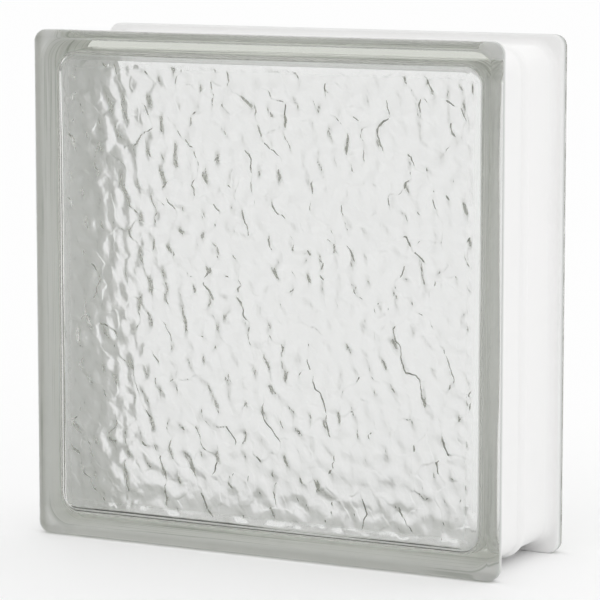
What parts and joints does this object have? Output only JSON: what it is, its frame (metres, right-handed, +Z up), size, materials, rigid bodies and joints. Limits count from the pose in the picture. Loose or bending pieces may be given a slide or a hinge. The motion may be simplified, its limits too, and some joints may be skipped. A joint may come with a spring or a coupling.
{
  "type": "glass block",
  "caption": "Square hollow glass building block with a crinkled ice pattern inside both faces, flanged edges and coated mortar channels round its sides, for light-passing walls.",
  "frame": {"origin": "centre of the base, on the plane of the flange edges that the block stands on", "axes": "+Z up, +Y from the front face to the rear face, +X to the right when looking at the front face"},
  "size_m": [0.2986, 0.0984, 0.2985],
  "materials": {
    "glass": "clear pressed glass, smooth outside, white coating on the four edges"
  },
  "bodies": {
    "root": {"glass_block": "glass"}
  },
  "joints": []
}
